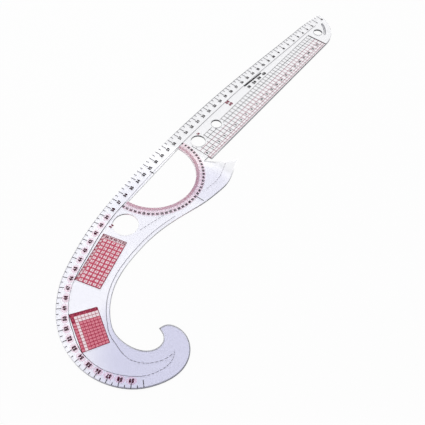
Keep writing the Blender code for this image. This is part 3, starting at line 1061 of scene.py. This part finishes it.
@dataclass
class Guides(Field):
    """The thin guide lines in the hook, the bay, the neck and the spur, and the short mark by the spur."""

    scale: EdgeScale
    width: float = 0.00055
    mark_width: float = 0.0006
    dash: Pair = (0.0028, 0.0012)
    bay_dash_share: float = 0.55
    neck_inset: float = 0.003
    hook_end_share: float = 0.942
    hook_inset_growth: float = 0.003
    bay_shares: Triple = (0.054, 0.15, 0.66)
    spur_shares: Pair = (0.815, 0.965)
    mark_ends: Pairs = ((-0.0475, -0.0172), (-0.0472, -0.0252))
    neck_points: Pairs = ((-0.1091, 0.0001), (-0.0869, -0.0055), (-0.0732, -0.0078))
    bay_blend: Pairs = ((0.00, 1.70), (0.08, 1.10), (0.13, 1.00), (0.18, 0.30), (0.24, 0.00), (1.00, 0.00))

    def bay_inset(self, place: float) -> float:
        """How far the bay guide lies inside the bay's edge at a distance along it."""
        blend = float(np.interp(place / self.sheet.bay_edge.length, *zip(*self.bay_blend)))
        return self.neck_inset + (self.scale.seam_inset - self.neck_inset) * blend

    def hook_inset(self, place: float) -> float:
        """Find how far the hook guide lies inside the outer edge. It drifts inwards round the hook.

        Args:
            place: the distance along the outer edge.

        Returns:
            The inset.
        """
        start, end = self.scale.scale_end(), self.sheet.outer_edge.length * self.hook_end_share
        share = max(0.0, (place - start) / (end - start))
        return self.scale.border(place) + self.hook_inset_growth * share ** 2

    def build(self) -> None:
        """Print the guides and the mark."""
        outer, bay = self.sheet.outer_edge, self.sheet.bay_edge
        names = [f"{place}_guide" for place in ("hook", "bay", "spur")]
        guides = [Print("neck_guide", Inks.PALE, Layer.RULE)]
        guides += [Print(name, Inks.PALE, Layer.RULE, f"{name}_line") for name in names]
        neck, hook, inner, spur = guides
        end = outer.length * self.hook_end_share
        hook.line(outer, self.scale.scale_end(), end, self.hook_inset, self.width, self.dash)
        start, swing, end = (bay.length * share for share in self.bay_shares)
        fine_dash = (self.bay_dash_share * self.dash[0], self.bay_dash_share * self.dash[1])
        inner.line(bay, start, swing, self.bay_inset, self.width, fine_dash)
        inner.line(bay, swing, end, self.bay_inset, self.width)
        start, end = (bay.length * share for share in self.spur_shares)
        spur.line(bay, start, end, lambda _: self.scale.seam_inset, self.width, self.dash)
        neck_run = Run(self.place(*point) for point in self.neck_points)
        neck.line(neck_run, 0.0, neck_run.length, lambda _: 0.0, self.width, self.dash)
        mark = Print("spur_cross_mark", Inks.BLACK, Layer.RULE, "spur_mark")
        mark.bar(*(self.place(*end) for end in self.mark_ends), self.mark_width)
        self.lay(*guides, mark)


@dataclass
class ProtractorPrint(Field):
    """The print round the D cut-out: a ring of fine degrees, ticks, numerals and the centre's mark."""

    digits: Digits
    ring_gap: float = 0.0003
    fine_reach: float = 0.0034
    long_reach: float = 0.0048
    fine_width: float = 0.00038
    tick_width: float = 0.0002
    mark_width: float = 0.0011
    numeral_radius_gap: float = 0.0073
    numeral_height: float = 0.0026
    numeral_room: float = 0.0026
    numeral_step: int = 5
    centre_mark: float = 0.0048
    blush_reach: float = 0.0092

    def build(self) -> None:
        """Print the ring, the ticks, the numerals and the centre's mark."""
        cut = self.sheet.protractor
        ring = Print("degree_ring", Inks.BAND, Layer.RULE, "protractor_band")
        ticks = Print("degree_ticks", Inks.GREY, Layer.RULE, "protractor_scale")
        numerals = Print("degree_numerals", Inks.NUMERAL, Layer.LETTER)
        near, far = cut.radius + self.ring_gap, cut.radius + self.fine_reach
        angles = [math.radians(degree) for degree in range(HALF_TURN + 1)]
        for degree, angle in enumerate(angles):
            ring.bar(cut.at(angle, near), cut.at(angle, far), self.fine_width)
            if degree % self.numeral_step == 0:
                ticks.bar(cut.at(angle, far), cut.at(angle, cut.radius + self.long_reach), self.tick_width)
                reading = -left_of(cut.at(angle, 1.0) - cut.centre)
                middle = cut.at(angle, cut.radius + self.numeral_radius_gap)
                numerals.number(self.digits, degree, middle, reading, self.numeral_height, self.numeral_room)
        mark = Print("centre_mark", Inks.BLACK, Layer.RULE, "protractor_centre_mark")
        up = left_of((math.cos(cut.tilt), math.sin(cut.tilt)))
        mark.bar(cut.centre + up * self.ring_gap, cut.centre + up * self.centre_mark, self.mark_width)
        blush = Print("protractor_blush", Inks.HALO, Layer.TINT)
        outer = [cut.at(angle, cut.radius + self.blush_reach) for angle in angles]
        blush.strip(outer, [cut.at(angle, near) for angle in angles])
        self.lay(blush, ring, ticks, numerals, mark)


@dataclass
class BladeGrid(Field):
    """The print on the straight blade: the net, the straight edge's ticks and numbers, and the end bar."""

    digits: Digits
    scale: EdgeScale
    pitch: float = 0.005
    divisions: int = 5
    rows: int = 5
    columns: int = 46
    rose_rows: int = 3
    heel_columns: int = 13
    line_width: float = 0.00048
    column_width: float = 0.00060
    millimetre_width: float = 0.00026
    fine_line: float = 0.0022
    millimetre_tick: float = 0.0016
    numeral_height: float = 0.0028
    numeral_y: float = 0.0078
    bar_width: float = 0.0014
    clear_rim: float = 0.0008
    hole_margin: float = 0.0012
    protractor_margin: float = 0.0105

    def clear(self, x: float, y: float) -> bool:
        """Whether a place lies clear of the holes, the protractor and the border line.

        Args:
            x: the place's distance along the blade.
            y: its distance from the straight edge.

        Returns:
            True if it lies clear.
        """
        place = self.place(x, y)
        cut, edge = self.sheet.protractor, self.sheet.outer_edge
        rounds = [(cut.centre, cut.radius + self.protractor_margin)]
        rounds += [(centre, radius + self.hole_margin) for centre, radius in self.sheet.holes]
        if any(float(np.linalg.norm(place - centre)) < radius for centre, radius in rounds):
            return False
        nearest = int(np.linalg.norm(edge.points - place, axis=1).argmin())
        border = self.scale.border(float(edge.distances[nearest]))
        return float(np.linalg.norm(edge.points[nearest] - place)) > border

    def net_line(self, layer: Print, start: Pair, end: Pair, width: float) -> None:
        """Add the stretches of a net line that lie clear.

        Args:
            layer: the ink's layer.
            start: the place where the line starts.
            end: the place where it ends.
            width: its width.
        """
        steps = round(math.dist(start, end) / (self.pitch / self.divisions))
        reach = np.array(end) - start
        places = [np.array(start) + reach * step / steps for step in range(steps + 1)]
        begun: Optional[int] = None
        for index, place in enumerate(places):
            is_clear = self.clear(*place)
            if is_clear and index < steps:
                begun = index if begun is None else begun
            elif begun is not None:
                last = index if is_clear else index - 1
                if last > begun:
                    layer.bar(self.place(*places[begun]), self.place(*places[last]), width)
                begun = None

    def build(self) -> None:
        """Print the net, the ticks, the numbers and the end bar."""
        rose = Print("grid_lower_net", Inks.ROSE, Layer.RULE, "blade_grid")
        grey = Print("grid_upper_net", Inks.NET, Layer.RULE)
        end, top, middle = (count * self.pitch for count in (self.columns, self.rows, self.rose_rows))
        for row in range(1, self.rows + 1):
            y = row * self.pitch
            self.net_line(rose if row <= self.rose_rows else grey, (0.0, y), (end, y), self.line_width)
        for column in range(self.columns + 1):
            x = column * self.pitch
            lower = grey if column < self.heel_columns else rose
            self.net_line(lower, (x, self.pitch), (x, middle), self.column_width)
            self.net_line(grey, (x, middle), (x, top), self.column_width)
        edge = Print("straight_edge_ticks", Inks.ROSE, Layer.RULE, "straight_edge_scale")
        edge.bar(self.place(0.0, self.fine_line), self.place(end, self.fine_line), self.line_width)
        for index in range(round(end / MILLIMETRE) + 1):
            x, is_long = index * MILLIMETRE, index % self.divisions == 0
            reach = self.pitch if is_long else self.millimetre_tick
            width = self.line_width if is_long else self.millimetre_width
            edge.bar(self.place(x, self.clear_rim), self.place(x, reach), width)
        numbers = Print("straight_edge_numerals", Inks.NUMERAL, Layer.LETTER)
        for number in range(self.columns // 2):
            spot = self.place(number * CENTIMETRE + self.pitch / 2, self.numeral_y)
            numbers.number(self.digits, number, spot, np.array([1.0, 0.0]), self.numeral_height)
        bar = Print("grid_end_stripe", Inks.NET, Layer.RULE, "grid_end_bar")
        x = end + self.bar_width / 2
        bar.bar(self.place(x, self.scale.margin), self.place(x, top), self.bar_width)
        self.lay(rose, grey, edge, numbers, bar)


@dataclass
class NumberTable(Field):
    """A printed table: tinted cells, rules, head rows, side strips and a number in each cell.

    Its places are shares: along from the head to the foot, and across from the outer to the inner side.
    """

    digits: Digits
    name: str
    node: str
    head: Pairs
    foot: Pairs
    rows: int
    columns: int
    head_rows: int
    strips: int
    strip_share: float
    figures: Inks
    column_rule: float
    row_rule: float
    digit_share: float
    room_share: float
    dark_rim: bool = False
    heading: Inks = Inks.MAROON
    rule: Inks = Inks.RED
    frame_width: float = 0.0005
    side_room_share: float = 0.78
    value_steps: tuple[int, int] = (137, 251)
    lowest_value: int = 10
    value_count: int = 90

    def at(self, along: float, across: float) -> Point:
        """A place in the table.

        Args:
            along: the share of the way from head to foot.
            across: the share of the way from the outer to the inner side.

        Returns:
            The place.
        """
        head, foot = (
            outer + across * (inner - outer)
            for outer, inner in ((self.place(*end) for end in ends) for ends in (self.head, self.foot))
        )
        return head + along * (foot - head)

    def is_pale(self, row: int, index: int) -> bool:
        """Whether a cell is pale: the head and side ones are, save the outermost where the rim is dark."""
        outside = row < self.head_rows or index < self.strips
        return outside and not (self.dark_rim and 0 in (row, index))

    def columns_at(self) -> list[float]:
        """Find where the columns start and end. The narrow side strips come first.

        Returns:
            Shares of the table's width.
        """
        share = self.strip_share
        strips = [index * share / self.strips for index in range(self.strips)]
        return strips + [share + (1 - share) * index / self.columns for index in range(self.columns + 1)]

    def lines(self, rules: Print, rim: Print, columns: Sequence[float]) -> None:
        """Draw the rules and the frame.

        Args:
            rules: the layer of the lines inside the table.
            rim: the layer of its frame.
            columns: where the columns start and end.
        """
        for across in columns:
            layer, width = (rim, self.frame_width) if across in (0, 1) else (rules, self.column_rule)
            layer.bar(self.at(0, across), self.at(1, across), width)
        for row in range(self.rows + 1):
            along = row / self.rows
            layer, width = (rim, self.frame_width) if row in (0, self.rows) else (rules, self.row_rule)
            layer.bar(self.at(along, 0), self.at(along, 1), width)

    def build(self) -> None:
        """Print the panels, the rules and the numbers."""
        columns = self.columns_at()
        wash = Print(f"{self.name}_wash", Inks.WASH, Layer.PANEL, self.node)
        body = Print(f"{self.name}_body", Inks.FLUSH, Layer.PANEL)
        rules = Print(f"{self.name}_rules", self.rule, Layer.RULE)
        rim = Print(f"{self.name}_frame", Inks.MAROON, Layer.LETTER)
        heading = Print(f"{self.name}_heading", self.heading, Layer.LETTER)
        figures = Print(f"{self.name}_figures", self.figures, Layer.LETTER)
        side_ink = self.figures if self.dark_rim else self.rule
        side_figures = Print(f"{self.name}_side_figures", side_ink, Layer.LETTER)
        self.lines(rules, rim, columns)
        pitch = float(np.linalg.norm(self.at(1, 0.5) - self.at(0, 0.5))) / self.rows
        height = self.digit_share * pitch
        for row in range(self.rows):
            top, middle, foot = row / self.rows, (row + 0.5) / self.rows, (row + 1) / self.rows
            for index, (left, right) in enumerate(zip(columns, columns[1:])):
                pale = self.is_pale(row, index)
                cell = wash if pale else body
                cell.strip(*([self.at(top, across), self.at(foot, across)] for across in (left, right)))
                if self.dark_rim and pale:
                    continue
                reading = self.at(middle, right) - self.at(middle, left)
                in_body = row >= self.head_rows and index >= self.strips
                room = (self.room_share if in_body else self.side_room_share) * float(np.linalg.norm(reading))
                value = (row + 1) * self.value_steps[0] + index * self.value_steps[1]
                value = self.lowest_value + value % self.value_count
                layer = figures if in_body else heading if row < self.head_rows else side_figures
                layer.number(self.digits, value, self.at(middle, (left + right) / 2), reading, height, room)
        self.lay(body, wash, rules, rim, heading, figures, side_figures)


@dataclass
class BladeMarks(Field):
    """The plain marks where the blade carries other words: a bar with numbers, and the round holes' sizes."""

    digits: Digits
    bar_ends: Pairs = ((0.1068, 0.0340), (0.1372, 0.0318))
    bar_width: float = 0.0018
    bar_numbers: tuple[int, ...] = (10, 20, 30, 40)
    number_shares: Pair = (0.11, 1.04)
    number_drops: Pair = (0.0044, 0.0032)
    number_height: float = 0.0037
    loose_numbers: tuple[tuple[int, float, float], ...] = ((50, 0.0745, 0.0340), (60, 0.0745, 0.0297))
    label_height: float = 0.0028
    label_places: Pairs = ((-0.1219, 0.0229), (0.0177, 0.0305))

    def build(self) -> None:
        """Print the bar and its numbers, and the diameters of the two larger round holes in millimetres."""
        bar = Print("plain_scale_bar", Inks.BLACK, Layer.RULE, "scale_bar")
        start, end = (self.place(*place) for place in self.bar_ends)
        bar.bar(start, end, self.bar_width)
        numbers = Print("plain_numbers", Inks.BLACK, Layer.LETTER)
        along = (end - start) / np.linalg.norm(end - start)
        count = len(self.bar_numbers)
        shares, drops = (np.linspace(*ends, count) for ends in (self.number_shares, self.number_drops))
        for value, share, drop in zip(self.bar_numbers, shares, drops):
            middle = start + (end - start) * share - left_of(along) * drop
            numbers.number(self.digits, value, middle, along, self.number_height)
        labels = Print("hole_labels", Inks.MAROON, Layer.LETTER)
        for value, x, y in self.loose_numbers:
            labels.number(self.digits, value, self.place(x, y), along, self.number_height)
        for (_, radius), place in zip(self.sheet.holes, self.label_places):
            diameter = round(2 * radius / MILLIMETRE)
            labels.number(self.digits, diameter, self.place(*place), along, self.label_height)
        self.lay(bar, numbers, labels)


@dataclass
class Studio:
    """The pale floor, the soft light and the camera."""

    floor_drop: float = 0.0004
    floor_size: float = 6.0
    floor_colour: Triple = (0.9, 0.9, 0.9)
    floor_glow: float = 0.93
    lens: float = 47.88
    sensor: float = 36.0
    camera_place: Triple = (-0.31155, -0.19940, 0.42728)
    camera_right: Triple = (0.589858, -0.805582, 0.055724)
    camera_down: Triple = (-0.638342, -0.507441, -0.578812)
    sky_level: float = 0.62
    lamp_place: Triple = (0.3, 0.5, 1.4)
    lamp_size: float = 1.2
    lamp_power: float = 7.5

    def camera(self, sheet: Sheet) -> None:
        """Place the camera where the photograph was taken from.

        Args:
            sheet: the sheet, from whose heel the camera's place is counted.
        """
        right = Vector(self.camera_right).normalized()
        up = -Vector(self.camera_down)
        up = (up - right * up.dot(right)).normalized()
        turn = Matrix((right, up, right.cross(up))).transposed().to_4x4()
        data = bpy.data.cameras.new("camera")
        data.lens = self.lens
        data.sensor_width = self.sensor
        camera = in_scene("camera", data)
        x, y, z = self.camera_place
        camera.matrix_world = Matrix.Translation((*sheet.from_heel(x, y), z)) @ turn
        bpy.context.scene.camera = camera

    def seen_white(self, desk: NodeDesk) -> Socket:
        """Mask the background that the camera sees directly, in a reflection or through the plastic.

        Args:
            desk: the desk of the floor's material or the world.

        Returns:
            The mask, which is 1 where the background shows as plain white.
        """
        path = desk.put("ShaderNodeLightPath").outputs
        seen = desk.maths("MAXIMUM", path["Is Camera Ray"], path["Is Glossy Ray"])
        return desk.maths("MAXIMUM", seen, path["Is Transmission Ray"])

    def floor(self) -> None:
        """Lay a plain pale floor that keeps a soft shadow and is clear from below."""
        half = self.floor_size / 2
        mesh = bpy.data.meshes.new("floor")
        corners = [(-half, -half), (half, -half), (half, half), (-half, half)]
        mesh.from_pydata([(x, y, -self.floor_drop) for x, y in corners], [], [(0, 1, 2, 3)])
        material, desk, shader = new_material("pale_floor")
        matt = {"Base Color": rgba(self.floor_colour), "Roughness": 1.0, "Specular IOR Level": 0.0}
        desk.fill(shader, matt)
        glow = desk.put("ShaderNodeEmission", {"Color": WHITE, "Strength": 1.0}).outputs[0]
        part = desk.maths("MULTIPLY", self.seen_white(desk), self.floor_glow)
        mixed = desk.put("ShaderNodeMixShader", {0: part, 1: shader.outputs[0], 2: glow}).outputs[0]
        below = desk.put("ShaderNodeNewGeometry").outputs["Backfacing"]
        clear = desk.put("ShaderNodeBsdfTransparent").outputs[0]
        shown = desk.put("ShaderNodeMixShader", {0: below, 1: mixed, 2: clear}).outputs[0]
        desk.fill(material.node_tree.nodes["Material Output"], {"Surface": shown})
        mesh.materials.append(material)
        in_scene("floor", mesh)

    def light(self) -> None:
        """Light the scene with a white surround, a soft sky and one broad lamp above."""
        world = bpy.data.worlds.new("studio")
        world.use_nodes = True
        desk = NodeDesk(world.node_tree)
        level = desk.remap(self.seen_white(desk), (0.0, 1.0), (self.sky_level, 1.0))
        desk.fill(world.node_tree.nodes["Background"], {"Color": WHITE, "Strength": level})
        bpy.context.scene.world = world
        data = bpy.data.lights.new("softbox", "AREA")
        data.shape = "DISK"
        data.size = self.lamp_size
        data.energy = self.lamp_power
        lamp = in_scene("softbox", data)
        lamp.location = self.lamp_place
        lamp.rotation_euler = (-lamp.location).to_track_quat("-Z", "Y").to_euler()

    def build(self, sheet: Sheet) -> None:
        """Set up the camera, the floor, the light and the view.

        Args:
            sheet: the sheet that the camera looks at.
        """
        self.camera(sheet)
        self.floor()
        self.light()
        bpy.context.scene.view_settings.view_transform = "Standard"


def main() -> None:
    """Build the camera and the room, then the sheet and each field of print."""
    logging.basicConfig(level=logging.INFO, format="%(message)s")
    sheet = Sheet()
    Studio().build(sheet)
    shop = InkShop()
    digits = Digits(boldness=0.062, gap=0.08)
    bold_digits = Digits(boldness=0.09, gap=0.06)
    ClearSheet(sheet).build()
    scale = EdgeScale(sheet, shop, bold_digits)
    scale.build()
    Guides(sheet, shop, scale).build()
    ProtractorPrint(sheet, shop, bold_digits).build()
    BladeGrid(sheet, shop, digits, scale).build()
    NumberTable(
        sheet, shop, digits, "upper_table", "upper_number_table",
        head=((-0.1322, 0.0227), (-0.1264, 0.0005)), foot=((-0.1808, 0.0101), (-0.1747, -0.0123)),
        rows=13, columns=5, head_rows=1, strips=1, strip_share=0.10, figures=Inks.WASH,
        column_rule=0.0002, row_rule=0.0002, digit_share=0.68, room_share=0.72,
    ).build()
    NumberTable(
        sheet, shop, digits, "lower_table", "lower_number_table",
        head=((-0.2070, -0.0085), (-0.1882, -0.0216)), foot=((-0.2238, -0.0391), (-0.2047, -0.0502)),
        rows=12, columns=6, head_rows=3, strips=2, strip_share=0.24, figures=Inks.PETAL,
        column_rule=0.0003, row_rule=0.0004, digit_share=0.72, room_share=0.84, dark_rim=True,
    ).build()
    BladeMarks(sheet, shop, bold_digits).build()


if __name__ == "__main__":
    main()
